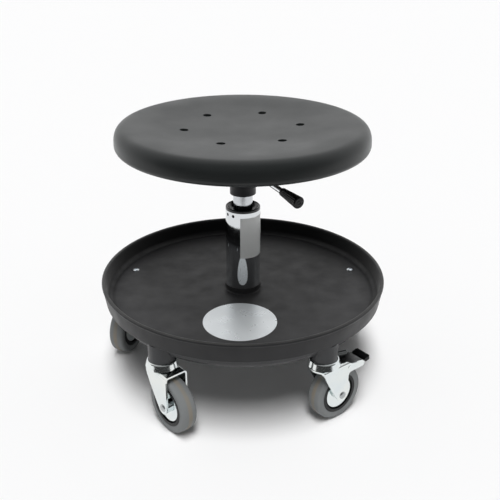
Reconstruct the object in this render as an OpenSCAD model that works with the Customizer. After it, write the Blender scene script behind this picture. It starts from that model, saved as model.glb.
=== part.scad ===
// Rolling work stool: a round seat on a gas column, over a round tool tray on five swivel casters.
// Millimetres, +Z up. The origin is on the floor under the column's axis, and the front faces -Y.

/* [Seat] */
// Diameter of the seat at its widest
seat_d = 352; // [340:1:380]
// Thickness of the seat, from its underside to its crest
seat_t = 30.7; // [28:0.1:40]
// Depth of the dish in the seat's top
seat_dish = 7.7; // [2:0.1:10]
// Width of the rounded top edge, from the side to the crest
seat_edge_w = 18; // [12:1:22]
// Radius of the rounded bottom edge
seat_foot_r = 8; // [4:1:9]
// Diameter of the holes in the padding
seat_hole_d = 12; // [5:0.5:14]
// Diameter of the circle that the holes lie on
seat_hole_circle_d = 160.8; // [120:0.2:200]
// Number of holes in the padding
seat_holes = 6; // [3:1:8]
// Diameter of the plywood board in the seat's underside
board_d = 300; // [280:1:310]
// Thickness of the board
board_t = 9; // [6:1:12]

/* [Column] */
// Outer diameter of the column's tube
column_d = 50; // [48:1:56]
// Wall of the column's tube
column_wall = 2.5; // [2:0.1:3]
// Height of the column above the tray's floor
column_h = 127; // [120:1:160]
// Thickness of the guide sleeve's flange on top of the column
flange_t = 4; // [3:0.5:6]
// Length of cylinder that shows above the column when the seat is at its lowest
lowest_gap = 19; // [10:1:40]
// Stroke of the gas spring
stroke_l = 90; // [60:1:100]
// Outer diameter of the gas spring's cylinder
cylinder_d = 28; // [26:1:30]
// Wall of the cylinder
cylinder_wall = 2; // [1.5:0.1:2.5]
// Diameter of the piston rod
rod_d = 10; // [8:1:12]
// Length of the end plug that the rod runs in
plug_l = 15; // [10:1:20]

/* [Seat mechanism] */
// Outer diameter of the socket that holds the cylinder
socket_d = 37; // [36:1:40]
// Length of the socket
socket_l = 31; // [28:1:40]
// Side of the square plate under the seat
plate_w = 150; // [140:1:170]
// Thickness of the pressed steel
plate_t = 2.5; // [2:0.1:3]
// Depth of the channel under the seat
channel_depth = 45; // [42:1:60]
// Inner width of the channel
channel_w = 38; // [36:1:40]
// Length of the channel
channel_l = 100; // [90:1:120]
// Spacing of the screws in the plate
screw_pitch = 124; // [110:1:126]
// Diameter of the screws in the board
screw_d = 6; // [5:0.5:8]

/* [Lever] */
// Direction of the lever, counter-clockwise from +X
lever_heading = -58.1; // [-90:0.1:0]
// Slope of the lever below the level
lever_slope = 5.3; // [2:0.1:8]
// Distance of the lever's tip from the column's axis
lever_reach = 135.4; // [110:0.2:170]
// Diameter of the lever's rod
lever_d = 8; // [6:0.5:9]
// Length of the grip
grip_l = 38; // [30:1:50]
// Diameter of the grip at its tip
grip_d = 16.5; // [14:0.5:20]
// Distance of the lever's pin from the column's axis
pin_x = 24; // [22:1:30]
// Diameter of the lever's pin
pin_d = 6; // [4:0.5:7]
// Number of flutes round the grip
grip_flutes = 18; // [6:1:20]

/* [Tray] */
// Diameter of the tray over its rim
tray_d = 415.4; // [405:0.2:440]
// Depth of the tray, from its rim to its floor
tray_depth = 26.2; // [22:0.2:50]
// Wall of the tray
tray_wall = 3; // [2.5:0.1:4]
// Radius between the tray's floor and its wall
tray_fillet = 8; // [4:1:12]
// Width that the wall leans out from floor to rim
tray_lean = 1; // [0:0.1:4]
// Radius of the rolled rim
bead_r = 2.8; // [2:0.1:3.2]
// Height of the collar round the column
collar_h = 9; // [5:1:15]
// Diameter of the round disc on the tray's floor
badge_d = 102.6; // [80:0.2:120]
// Place of the disc's centre, left and right
badge_x = -4.4; // [-10:0.2:10]
// Place of the disc's centre, front and back
badge_y = -104.2; // [-115:0.2:-90]

/* [Base] */
// Diameter of the circle that the caster posts stand on
post_circle_d = 370.6; // [360:0.2:372]
// Diameter of a caster post
post_d = 36; // [32:1:40]
// Height of a post, from its foot to the top of the base
post_h = 26; // [25:1:40]
// Height of the skirt below the top of the base
skirt_h = 18; // [14:1:22]
// Radius that the skirt curls in with at its foot
skirt_curl_r = 9; // [6:1:11]
// Wall of the moulding
shell_wall = 3; // [2.5:0.1:3.5]
// Outer diameter of the hub round the column
hub_d = 64; // [62:1:72]
// Distance that the skirt stands in from the foot of the tray's wall
skirt_in = 10.5; // [8:0.5:12]
// Depth of the hub below the top of the base
hub_depth = 62; // [50:1:64]
// Spacing of the two ribs of an arm
rib_pitch = 28; // [22:1:30]

/* [Casters] */
// Diameter of a wheel
wheel_d = 80; // [72:1:84]
// Width of a tyre
tyre_w = 24; // [20:1:25]
// Height of a caster, from the floor to the post
caster_h = 102; // [102:1:120]
// Distance of the axle from the swivel axis
trail = 22; // [20:0.5:25]
// Diameter of the hub under the tyre
rim_d = 58; // [54:1:60]
// Diameter of a thread guard
guard_d = 44; // [36:1:45]
// Diameter of an axle's rivet
axle_d = 8; // [6:0.5:9]
// Inner width of a fork
fork_gap = 30; // [29:0.5:33]
// Thickness of the fork's steel
fork_t = 2.5; // [2:0.1:3]
// Diameter of the raceway cup on top of a fork
cup_d = 45; // [44:0.5:48]
// Diameter of the stem in the post
stem_d = 11; // [10:0.5:12]
// Length of the stem in the post
stem_l = 23; // [18:1:24]
// Diameter of the balls in the swivel head
ball_d = 5; // [4.5:0.1:5.2]
// Number of balls in the swivel head
ball_count = 12; // [8:1:16]

/* [Brake] */
// Distance from the swivel axis to the tip of the fork's arms
arm_reach = 61; // [58:0.5:66]
// Depth of the pad on the pedal
pad_l = 11.5; // [9:0.5:16]
// Thickness of the pad
pad_t = 6; // [5:0.5:8]
// Number of grooves across the top of the pad
pad_grooves = 3; // [1:1:4]
// Gap between the brake shoe and the tyre when the pedal is up
shoe_gap = 3.6; // [3.5:0.1:4.5]

/* [Hidden] */

$fn = 96;
// Radial clearance of a shaft in its bore
slip = 0.05;
// Gap between pieces that move past each other
gap = 0.3;
// Overrun of every cut
over = 1;
// Steps in a rounded stretch of an outline
arc_steps = 8;

// The casters, by their place: the bearing of each post from the front, towards +X, and the heading of its
// wheel, counter-clockwise from +X
front_left = 0;
front_right = 1;
rear_right = 2;
rear = 3;
rear_left = 4;
post_bearings = [-36, 36, 108, 180, 252];
wheel_headings = [-49.6, 37.7, 150, 120, 248.8];
posts = [front_left, front_right, rear_right, rear, rear_left];
braked = [front_right];

// Heights of the base and the tray
base_z = caster_h + post_h;
tray_floor_z = base_z + tray_wall;
tray_top_z = tray_floor_z + tray_depth;
tray_r = tray_d/2;
tray_wall_r = tray_r - bead_r - bead_r/4;
tray_base_r = tray_wall_r - tray_lean;
tray_foot_r = 1.5;
skirt_r = tray_base_r - skirt_in;
post_circle_r = post_circle_d/2;
hub_z = base_z - hub_depth;

// The ribs of an arm: how far they hang below the top of the base, at the hub and at the post
rib_wall = shell_wall;
rib_hub_drop_share = 0.7;
rib_post_drop_share = 0.85;

// The tray's screws, in the posts beside the stems
tray_screw_d = 3;
tray_screw_l = 16;
tray_screw_head_d = 7.5;
tray_screw_head_t = 2.4;
tray_screw_wall_share = 0.6;
tray_screw_r = post_circle_r - stem_d/2 - tray_screw_d/2 - tray_screw_wall_share*tray_screw_d;
// Depth of the shallow seat that a screw's head sits in
tray_screw_sink = 0.6;
// Thickness of the disc, which lies in a recess of the same depth
badge_t = 0.4;

// The column: its tube is tapered in the hub, as far as the wall allows
column_r = column_d/2;
column_top_z = tray_floor_z + column_h;
taper_in = 0.8;
foot_t = 4;
column_z = hub_z - foot_t;
column_bore_r = column_r - column_wall;
stake_hole_d = 4.5;
stake_drop = 5.2;
stake_bearings = [-59.5, -33.8, 120.5, 146.2];
label_t = 0.2;
label_h = 62;
label_drop = 7;
label_start = -9;
label_turn = 104;
sleeve_overlap = 15;
flange_r = column_r - slip*4;
funnel_in = 2;

// The rod, its bearing and its clip
rod_r = rod_d/2;
washer_t = 3.5;
washer_r = 15;
bearing_ball_d = 4;
bearing_pitch_r = 10.5;
bearing_balls = 8;
bearing_gap = 2.5;
shoulder_t = 4;
washer_z = column_z + foot_t;
shoulder_z = washer_z + washer_t + bearing_gap;
clip_t = 1.5;
clip_wide = 3;
clip_mouth = 60;
neck_in = 1;
rod_end_l = 3;
clip_z = column_z - gap - clip_t;

// The gas spring
cylinder_r = cylinder_d/2;
cylinder_z = shoulder_z + shoulder_t + gap;
cylinder_bore_r = cylinder_r - cylinder_wall;
piston_z = cylinder_z + plug_l + stroke_l + 2*over;
piston_t = 10;
piston_nut_d = 12;
piston_nut_t = 5;
socket_z = column_top_z + flange_t + lowest_gap;
cylinder_top_z = socket_z + socket_l;
cylinder_taper = 0.8;
cap_t = 16;
// Length of cylinder that stands in the channel
cap_in_channel = 5;
seat_z = cylinder_top_z + channel_depth - cap_in_channel;
socket_r = socket_d/2;

// The lever and the valve pin below it
lever_r = lever_d/2;
paddle_w = 10;
paddle_h = 10;
paddle_back = 12;
paddle_front = 10;
pin_r = pin_d/2;
lever_rise = 10.6;
lever_axis_z = cylinder_top_z + lever_rise;
pin_z = lever_axis_z - pin_x*tan(lever_slope);
valve_d = 6;
valve_r = valve_d/2;
valve_foot_d = 10;
valve_foot_t = 2;
valve_top_z = lever_axis_z - paddle_h/2/cos(lever_slope) - valve_r*tan(lever_slope) - gap;
lever_l = (lever_reach - pin_x)/cos(lever_slope);
grip_root_d = 11;
grip_tip_r = 2;
grip_dimple_d = 5;
grip_dimple = 0.8;
flute_r = 1;
flute_depth = 0.35;
flute_land = 5;
grip_taper = atan((grip_d - grip_root_d)/2/grip_l);
rod_in_grip = 30;
pin_head_d = 9;
pin_head_t = 1.5;

// The mechanism's pressed bends, and its screws
bend_r = 4;
channel_z = seat_z - channel_depth;
plate_corner_r = 12;
screw_head_d = 11;
screw_head_t = 3.5;

// The seat
seat_r = seat_d/2;
board_r = board_d/2;
seat_crest_r = seat_r - seat_edge_w;
seat_crest_z = seat_z + seat_t;
seat_side_z = seat_z + seat_foot_r;
seat_hole_turn = 9.5;
dish_power_share = 1.8;
dish_steps = 16;

// The caster's heights, downwards from the post: cup, balls, crown of the fork
wheel_r = wheel_d/2;
cup_r = cup_d/2;
cup_h = 9.7;
cup_edge_r = 3;
cup_lean = 2;
cup_lean_turn = atan(cup_lean/(cup_h - cup_edge_r));
cup_lip = 2.5;
cup_race_drop = 6.4;
cup_race_z = caster_h - cup_race_drop;
ball_r = ball_d/2;
ball_pitch_r = 16;
ball_drop = 7.7;
ball_z = caster_h - ball_drop;
race_drop = 9;
race_top_z = caster_h - race_drop;
crown_drop = 11;
crown_z = caster_h - crown_drop;
crown_r = 22;
race_r = cup_r - cup_lip - 2*gap;
kingpin_d = 10;
kingpin_r = kingpin_d/2;
kingpin_head_d = 16;
kingpin_head_t = 4.4;
stem_r = stem_d/2;
stem_tip = 1;

// The fork's legs
fork_half = fork_gap/2;
fork_out = fork_half + fork_t;
fork_bend_r = 5;
leg_tip_r = 9.5;
leg_rear_x = trail + leg_tip_r;
leg_turn = 213;
leg_front_x = -14.5;
leg_front_z = crown_z - fork_bend_r;
leg_knee_share = 0.72;

// The wheel
rim_r = rim_d/2;
rim_inset = 0.7;
rim_half = tyre_w/2 - rim_inset;
rim_wall = 4.5;
web_half = 4;
hub_boss_r = 10;
hub_boss_half = 8.6;
tyre_shoulder_r = 6;
tyre_crown = 0.8;
tyre_seat_inset = 0.5;
tyre_seat_half = tyre_w/2 - tyre_seat_inset;
axle_r = axle_d/2;
spacer_r = 6;
axle_head_r = 5.5;
axle_head_t = 2.2;
guard_r = guard_d/2;
guard_t = 1.2;
guard_gap = 0.4;
guard_y = hub_boss_half + guard_gap;
guard_dish = 0.5;
guard_boss_r = 9;

// The brake: the fork's arms, the pedal between them, its shoe and its pad
arm_root_drop = 5.2;
arm_root_z = crown_z - arm_root_drop;
arm_tip_drop = 9.5;
arm_tip_z = crown_z - arm_tip_drop;
arm_low_root_drop = 17.5;
arm_low_root_z = crown_z - arm_low_root_drop;
arm_low_tip_drop = 17.2;
arm_low_tip_z = crown_z - arm_low_tip_drop;
arm_low_turn = -70;
arm_top_turn = 75;
arm_tip_r = 2;
arm_fillet = 6;
arm_slot_x = 22;
pedal_pin_x = 33;
pedal_pin_drop = 10;
pedal_pin_z = crown_z - pedal_pin_drop;
pedal_t = 2.5;
pedal_top_drop = 5.5;
pedal_top_z = crown_z - pedal_top_drop;
pedal_x = 26;
pedal_ear_t = 2;
pedal_ear_r = 5;
pedal_half = fork_half - gap;
pedal_pin_r = 2;
pedal_pin_head_r = 3;
pedal_pin_head_t = 0.4;
shoe_w = 18;
shoe_t = 4;
shoe_from = 38;
shoe_to = 56;
pad_out = 6.4;
pad_x = arm_reach + pad_out;
pad_half = 12.5;
pad_edge_r = 2.4;
pad_corner_r = 4;
pad_drop = 5.6;
pad_mid_z = arm_tip_z - pad_drop;
pad_tilt = 10;
pad_grip = 8;
tongue_half = 9.5;
groove_w = 1.4;
groove_depth = 0.7;

function arc(x, y, r, from, to) =
    [for (i = [0:arc_steps]) let (a = from + (to - from)*i/arc_steps) [x + r*cos(a), y + r*sin(a)]];
function oval(x, y, rx, ry, from, to) =
    [for (i = [0:arc_steps]) let (a = from + (to - from)*i/arc_steps) [x + rx*cos(a), y + ry*sin(a)]];
function curve(a, b, c) =
    [for (i = [0:arc_steps]) let (t = i/arc_steps) a*(1 - t)*(1 - t) + b*2*t*(1 - t) + c*t*t];
function arch(half, top, r, low) = concat(
    [[half, low]], arc(half - r, top - r, r, 0, 90), arc(r - half, top - r, r, 90, 180), [[-half, low]]);
function box_outline(x0, y0, x1, y1, r) = concat(
    arc(x1 - r, y1 - r, r, 0, 90), arc(x0 + r, y1 - r, r, 90, 180),
    arc(x0 + r, y0 + r, r, 180, 270), arc(x1 - r, y0 + r, r, 270, 360));

// A ring-shaped groove for balls of the diameter d, on a circle of the radius r
module ball_groove(r, d, z) translate([0, 0, z]) rotate_extrude() translate([r, 0]) circle(d=d + 2*slip);

module balls_on(r, d, z, count)
    for (i = [0:count - 1]) rotate(360*i/count) translate([r, 0, z]) sphere(d=d);

module at_post(i) rotate(post_bearings[i] - 90) translate([post_circle_r, 0, 0]) children();

module at_caster(i) {
    a = post_bearings[i] - 90;
    translate([post_circle_r*cos(a), post_circle_r*sin(a), 0]) rotate(wheel_headings[i]) children();
}

module on_axle() translate([trail, 0, wheel_r]) rotate([90, 0, 0]) children();

// Turns an outline drawn in X and Z into a slab that is centred on Y
module slab(w) rotate([90, 0, 0]) linear_extrude(w, center=true) children();

// The base: plate, curled skirt and tapered hub in one turned outline, with posts and arms
module base_shell() color("#3a3b3d") difference() {
    union() {
        rotate_extrude() polygon(base_outline());
        for (i = posts) at_post(i) translate([0, 0, caster_h]) cylinder(h=post_h - slip, d=post_d);
        for (i = posts) rotate(post_bearings[i] - 90) arm();
    }
    for (i = posts) {
        at_post(i) translate([0, 0, caster_h - over]) cylinder(h=stem_l + over + gap, r=stem_r + slip);
        rotate(post_bearings[i] - 90) translate([tray_screw_r, 0, base_z - tray_screw_l])
            cylinder(h=tray_screw_l + over, d=tray_screw_d + 2*slip);
    }
}

function base_outline() = let (
    plate_z = base_z - shell_wall,
    curl_z = base_z - skirt_h + skirt_curl_r,
    curl_x = skirt_r - skirt_curl_r - tray_lean,
    rim_in = skirt_r - shell_wall) concat(
    [[skirt_r, base_z]],
    arc(curl_x, curl_z, skirt_curl_r, 0, -90),
    arc(curl_x, curl_z, skirt_curl_r - shell_wall, -90, 0),
    [[rim_in, plate_z], [hub_d/2, plate_z], [hub_d/2 - taper_in, hub_z],
     [column_r - taper_in + slip, hub_z], [column_r + slip, base_z]]);

module arm() for (side = [-1, 1]) translate([0, side*rib_pitch/2, 0]) slab(rib_wall) polygon([
    [hub_d/2 - shell_wall, base_z - hub_depth*rib_hub_drop_share],
    [post_circle_r, base_z - post_h*rib_post_drop_share],
    [post_circle_r, base_z - shell_wall/2],
    [hub_d/2 - shell_wall, base_z - shell_wall/2]]);

// The tray: floor on the base, wall that leans out, rolled rim, filleted floor and collar, with a recess for
// the disc and a shallow seat for each screw
module tray() color("#37383a") difference() {
    rotate_extrude() polygon(tray_outline());
    for (i = posts) rotate(post_bearings[i] - 90) translate([tray_screw_r, 0, 0]) {
        translate([0, 0, base_z - over]) cylinder(h=tray_wall + 2*over, r=tray_screw_d/2 + gap);
        translate([0, 0, tray_floor_z - tray_screw_sink])
            cylinder(h=tray_screw_sink + over, r=tray_screw_head_d/2 + gap);
    }
    translate([badge_x, badge_y, tray_floor_z - badge_t]) cylinder(h=badge_t + over, r=badge_d/2 + gap);
}

function tray_outline() = let (
    bead_x = tray_r - bead_r,
    bead_z = tray_top_z - bead_r,
    wall_in = tray_base_r - tray_wall,
    hole_r = column_r + 2*slip,
    collar_r = hole_r + tray_wall/2) concat(
    [[hole_r, base_z]],
    arc(tray_base_r - tray_foot_r, base_z + tray_foot_r, tray_foot_r, -90, 0),
    arc(bead_x, bead_z, bead_r, -40, 180),
    arc(wall_in - tray_fillet, tray_floor_z + tray_fillet, tray_fillet, 0, -90),
    [[collar_r + collar_h/8, tray_floor_z], [collar_r, tray_floor_z + collar_h/8],
     [collar_r, tray_floor_z + collar_h - slip], [hole_r, tray_floor_z + collar_h]]);

module tray_badge() color("#c9ccd0") translate([badge_x, badge_y, tray_floor_z - badge_t])
    cylinder(h=badge_t, d=badge_d);

module tray_screws() color("silver") for (i = posts)
    rotate(post_bearings[i] - 90) translate([tray_screw_r, 0, tray_floor_z - tray_screw_sink])
        pan_screw(tray_screw_d, tray_screw_head_d, tray_screw_head_t,
            tray_screw_l - over + tray_wall - tray_screw_sink);

// A screw with a rounded head above zero and a shank below it
module pan_screw(d, head_d, head_t, l) rotate_extrude() polygon(concat(
    [[0, -l], [d/2 - d/8, -l], [d/2, -l + d/4], [d/2, 0], [head_d/2, 0]],
    oval(0, head_t/3, head_d/2, head_t*2/3, 0, 90)));

module column_tube() color("#d8dade") difference() {
    rotate_extrude() polygon([
        [rod_r + gap, column_z], [column_r - taper_in, column_z], [column_r - taper_in, hub_z],
        [column_r, base_z], [column_r, column_top_z], [column_bore_r, column_top_z],
        [column_bore_r, washer_z], [rod_r + gap, washer_z]]);
    for (a = stake_bearings) rotate(a - 90) translate([column_bore_r - over, 0, column_top_z - stake_drop])
        rotate([0, 90, 0]) cylinder(h=column_wall + 2*over, d=stake_hole_d);
}

module column_label() color("#a9adb1") rotate(label_start - 90)
    translate([0, 0, column_top_z - label_drop - label_h])
        rotate_extrude(angle=label_turn) translate([column_r + slip, 0]) square([label_t, label_h]);

// The guide sleeve: long bush in the tube, with a dished flange on the tube's end
module guide_sleeve() color("#1b1c1e") rotate_extrude() polygon(concat(
    [[cylinder_r + slip, cylinder_z + stroke_l - sleeve_overlap],
     [column_bore_r - slip, cylinder_z + stroke_l - sleeve_overlap],
     [column_bore_r - slip, column_top_z], [flange_r, column_top_z]],
    arc(flange_r - flange_t/3, column_top_z + flange_t*2/3, flange_t/3, 0, 90),
    curve([flange_r - flange_t*2/3, column_top_z + flange_t - funnel_in/4],
          [column_bore_r - funnel_in*2, column_top_z - funnel_in],
          [cylinder_r + slip, column_top_z - funnel_in])));

module thrust_bearing() color("silver") {
    difference() {
        translate([0, 0, washer_z]) cylinder(h=washer_t, r=washer_r);
        translate([0, 0, washer_z - over]) cylinder(h=washer_t + 2*over, r=rod_r + gap);
        ball_groove(bearing_pitch_r, bearing_ball_d, washer_z + washer_t + bearing_gap/2);
    }
    balls_on(bearing_pitch_r, bearing_ball_d, washer_z + washer_t + bearing_gap/2, bearing_balls);
}

module rod_clip() color("dimgray") rotate(clip_mouth/2) translate([0, 0, clip_z])
    rotate_extrude(angle=360 - clip_mouth) translate([rod_r - neck_in + slip, 0]) square([clip_wide, clip_t]);

// The rod: grooved foot, shoulder on the bearing, piston and nut
module piston_rod() color("silver") difference() {
    rotate_extrude() polygon([
        [0, clip_z - rod_end_l], [rod_r, clip_z - rod_end_l], [rod_r, clip_z - slip],
        [rod_r - neck_in, clip_z - slip], [rod_r - neck_in, clip_z + clip_t + slip],
        [rod_r, clip_z + clip_t + slip], [rod_r, shoulder_z], [washer_r, shoulder_z],
        [washer_r, shoulder_z + shoulder_t], [rod_r, shoulder_z + shoulder_t], [rod_r, piston_z],
        [cylinder_bore_r - slip, piston_z], [cylinder_bore_r - slip, piston_z + piston_t],
        [piston_nut_d/2, piston_z + piston_t], [piston_nut_d/2, piston_z + piston_t + piston_nut_t],
        [0, piston_z + piston_t + piston_nut_t]]);
    ball_groove(bearing_pitch_r, bearing_ball_d, washer_z + washer_t + bearing_gap/2);
}

// The cylinder: end plug for the rod, bore, and a tapered cap with the valve's bore
module gas_cylinder() color("#c4c7ca") rotate_extrude() polygon([
    [rod_r + slip, cylinder_z], [cylinder_r - slip, cylinder_z], [cylinder_r, cylinder_z + over],
    [cylinder_r, socket_z], [cylinder_r - cylinder_taper, cylinder_top_z],
    [valve_r + slip, cylinder_top_z], [valve_r + slip, cylinder_top_z - cap_t],
    [cylinder_bore_r, cylinder_top_z - cap_t], [cylinder_bore_r, cylinder_z + plug_l],
    [rod_r + slip, cylinder_z + plug_l]]);

module valve_pin() color("gold") rotate_extrude() polygon([
    [0, cylinder_top_z - cap_t - gap - valve_foot_t], [valve_foot_d/2, cylinder_top_z - cap_t - gap - valve_foot_t],
    [valve_foot_d/2, cylinder_top_z - cap_t - gap], [valve_r, cylinder_top_z - cap_t - gap],
    [valve_r, valve_top_z], [0, valve_top_z]]);

// The mechanism: a hat-shaped pressing with a tapered socket welded through its floor
module seat_mechanism() color("#26272a") rotate(lever_heading) difference() {
    union() {
        intersection() {
            rotate([90, 0, 90]) linear_extrude(plate_w, center=true) difference() {
                polygon(hat_outline());
                polygon(concat([[-channel_w/2, seat_z + over]],
                    arc(bend_r - channel_w/2, channel_z + plate_t + bend_r, bend_r, 180, 270),
                    arc(channel_w/2 - bend_r, channel_z + plate_t + bend_r, bend_r, 270, 360),
                    [[channel_w/2, seat_z + over]]));
            }
            translate([0, 0, channel_z - over]) linear_extrude(channel_depth + 2*over)
                polygon(box_outline(-plate_w/2, -plate_w/2, plate_w/2, plate_w/2, plate_corner_r));
        }
        translate([0, 0, socket_z]) cylinder(h=socket_l, r=socket_r);
    }
    for (end = [-1, 1]) translate([end*(channel_l + plate_w)/2, 0, seat_z - plate_t - channel_depth])
        linear_extrude(channel_depth) square([plate_w, channel_w + 4*bend_r], center=true);
    rotate_extrude() polygon([
        [0, socket_z - over], [cylinder_r + slip, socket_z - over], [cylinder_r + slip, socket_z],
        [cylinder_r - cylinder_taper + slip, cylinder_top_z], [cylinder_r - cylinder_taper + slip, seat_z],
        [0, seat_z]]);
    translate([pin_x, 0, pin_z]) rotate([90, 0, 0])
        cylinder(h=channel_w + 4*plate_t, r=pin_r + slip, center=true);
    at_screws() translate([0, 0, seat_z - plate_t - over])
        cylinder(h=plate_t + 2*over, r=screw_d/2 + gap);
}

function hat_outline() = concat(
    [[-plate_w/2, seat_z], [-plate_w/2, seat_z - plate_t]],
    [[-channel_w/2 - plate_t, seat_z - plate_t]],
    arc(bend_r - channel_w/2 - plate_t, channel_z + bend_r, bend_r, 180, 270),
    arc(channel_w/2 + plate_t - bend_r, channel_z + bend_r, bend_r, 270, 360),
    [[channel_w/2 + plate_t, seat_z - plate_t], [plate_w/2, seat_z - plate_t], [plate_w/2, seat_z]]);

module at_screws() for (x = [-1, 1], y = [-1, 1])
    translate([x*screw_pitch/2, y*screw_pitch/2, 0]) children();

module seat_screws() color("silver") rotate(lever_heading) at_screws()
    translate([0, 0, seat_z - plate_t]) mirror([0, 0, 1])
        pan_screw(screw_d, screw_head_d, screw_head_t, plate_t + board_t - over);

module seat_board() color("tan") rotate(lever_heading) difference() {
    translate([0, 0, seat_z]) cylinder(h=board_t, r=board_r);
    at_screws() translate([0, 0, seat_z - over]) cylinder(h=board_t + over - slip, r=screw_d/2 + slip);
}

// The seat: one turned outline, with the board's recess below and the holes above it
module seat() color("#2b2c2e") difference() {
    rotate_extrude() polygon(concat(
        [[0, seat_z + board_t + slip], [board_r + slip, seat_z + board_t + slip], [board_r + slip, seat_z]],
        arc(seat_r - seat_foot_r, seat_side_z, seat_foot_r, -90, 0),
        oval(seat_crest_r, seat_side_z, seat_edge_w, seat_t - seat_foot_r, 0, 90),
        dish_outline()));
    for (i = [0:seat_holes - 1]) rotate(seat_hole_turn + 360*i/seat_holes)
        translate([seat_hole_circle_d/2, 0, seat_z + board_t - over])
            cylinder(h=seat_t, d=seat_hole_d);
}

function dish_outline() = [for (i = [1:dish_steps]) let (s = 1 - i/dish_steps)
    [s*seat_crest_r, seat_crest_z - seat_dish*(1 + cos(180*pow(s, dish_power_share)))/2]];

// The lever's own frame: the pin's axis is the origin, and +X runs out along the rod
module lever_frame() rotate(lever_heading) translate([pin_x, 0, pin_z]) rotate([0, lever_slope, 0]) children();

module lever_rod() color("silver") lever_frame() difference() {
    union() {
        translate([-pin_x - paddle_back, -paddle_w/2, -paddle_h/2])
            cube([pin_x + paddle_back + paddle_front, paddle_w, paddle_h]);
        rotate([0, 90, 0]) cylinder(h=lever_l - grip_l + rod_in_grip, r=lever_r);
    }
    rotate([90, 0, 0]) cylinder(h=paddle_w + 2*over, r=pin_r + slip, center=true);
}

// The grip: tapered, with shallow flutes along it
module lever_grip() color("#17181a") lever_frame() translate([lever_l - grip_l, 0, 0]) rotate([0, 90, 0]) difference() {
    rotate_extrude() polygon(concat(
        [[lever_r + slip, 0], [grip_root_d/2 - grip_tip_r/4, 0], [grip_root_d/2, grip_tip_r/4]],
        arc(grip_d/2 - grip_tip_r, grip_l - grip_tip_r, grip_tip_r, 0, 90),
        [[grip_dimple_d/2, grip_l], [0, grip_l - grip_dimple], [0, rod_in_grip + gap],
         [lever_r + slip, rod_in_grip + gap]]));
    for (i = [0:grip_flutes - 1]) rotate(360*i/grip_flutes)
        translate([grip_root_d/2 + flute_r - flute_depth, 0, 0]) rotate([0, grip_taper, 0])
            translate([0, 0, flute_land]) cylinder(h=grip_l - 2*flute_land, r=flute_r);
}

module lever_pin() color("silver") rotate(lever_heading) translate([pin_x, 0, pin_z]) rotate([90, 0, 0]) {
    half = channel_w/2 + plate_t;
    cylinder(h=2*half, r=pin_r, center=true);
    for (side = [-1, 1]) translate([0, 0, side*(half + pin_head_t/2)])
        cylinder(h=pin_head_t, d=pin_head_d, center=true);
}

// A caster's raceway cup with its stem above and its riveted kingpin below
module stem(i) color("#c9cccf") at_caster(i) difference() {
    rotate_extrude() polygon(concat(
        [[0, crown_z - fork_t - kingpin_head_t], [kingpin_head_d/2 - over, crown_z - fork_t - kingpin_head_t],
         [kingpin_head_d/2, crown_z - fork_t - kingpin_head_t + over],
         [kingpin_head_d/2, crown_z - fork_t - slip], [kingpin_r, crown_z - fork_t - slip],
         [kingpin_r, cup_race_z], [cup_r - cup_lip, cup_race_z], [cup_r - cup_lip, caster_h - cup_h],
         [cup_r, caster_h - cup_h]],
        arc(cup_r - cup_lean - cup_edge_r, caster_h - cup_edge_r, cup_edge_r, cup_lean_turn, 90),
        [[stem_r, caster_h], [stem_r, caster_h + stem_l - stem_tip],
         [stem_r - stem_tip, caster_h + stem_l], [0, caster_h + stem_l]]));
    ball_groove(ball_pitch_r, ball_d, ball_z);
}

module balls(i) color("silver") at_caster(i) balls_on(ball_pitch_r, ball_d, ball_z, ball_count);

// The outline of a leg from the side, down the front edge, round the axle and up the rear edge
function leg_outline(rear_edge) = let (
    foot = [trail + leg_tip_r*cos(leg_turn), wheel_r + leg_tip_r*sin(leg_turn)],
    knee_z = wheel_r + (leg_front_z - wheel_r)*leg_knee_share,
    knee = [foot[0] + (knee_z - foot[1])/tan(leg_turn - 90), knee_z]) concat(
    [[-crown_r - over, crown_z + over], [-crown_r - over, leg_front_z], [leg_front_x, leg_front_z]],
    curve([leg_front_x, leg_front_z], knee, foot),
    arc(trail, wheel_r, leg_tip_r, leg_turn, 360),
    rear_edge);

function plain_rear_edge() = [[leg_rear_x, crown_z + over]];

// The arms that carry the brake pedal, behind the legs
function arm_rear_edge() = concat(
    curve([leg_rear_x, arm_low_root_z - arm_fillet], [leg_rear_x, arm_low_root_z],
          [leg_rear_x + arm_fillet, arm_low_root_z]),
    arc(arm_reach - arm_tip_r, arm_low_tip_z + arm_tip_r, arm_tip_r, arm_low_turn, 0),
    arc(arm_reach - arm_tip_r, arm_tip_z - arm_tip_r, arm_tip_r, 0, arm_top_turn),
    [[leg_rear_x + arm_fillet, arm_root_z], [leg_rear_x - arm_fillet, crown_z + over]]);

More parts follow.
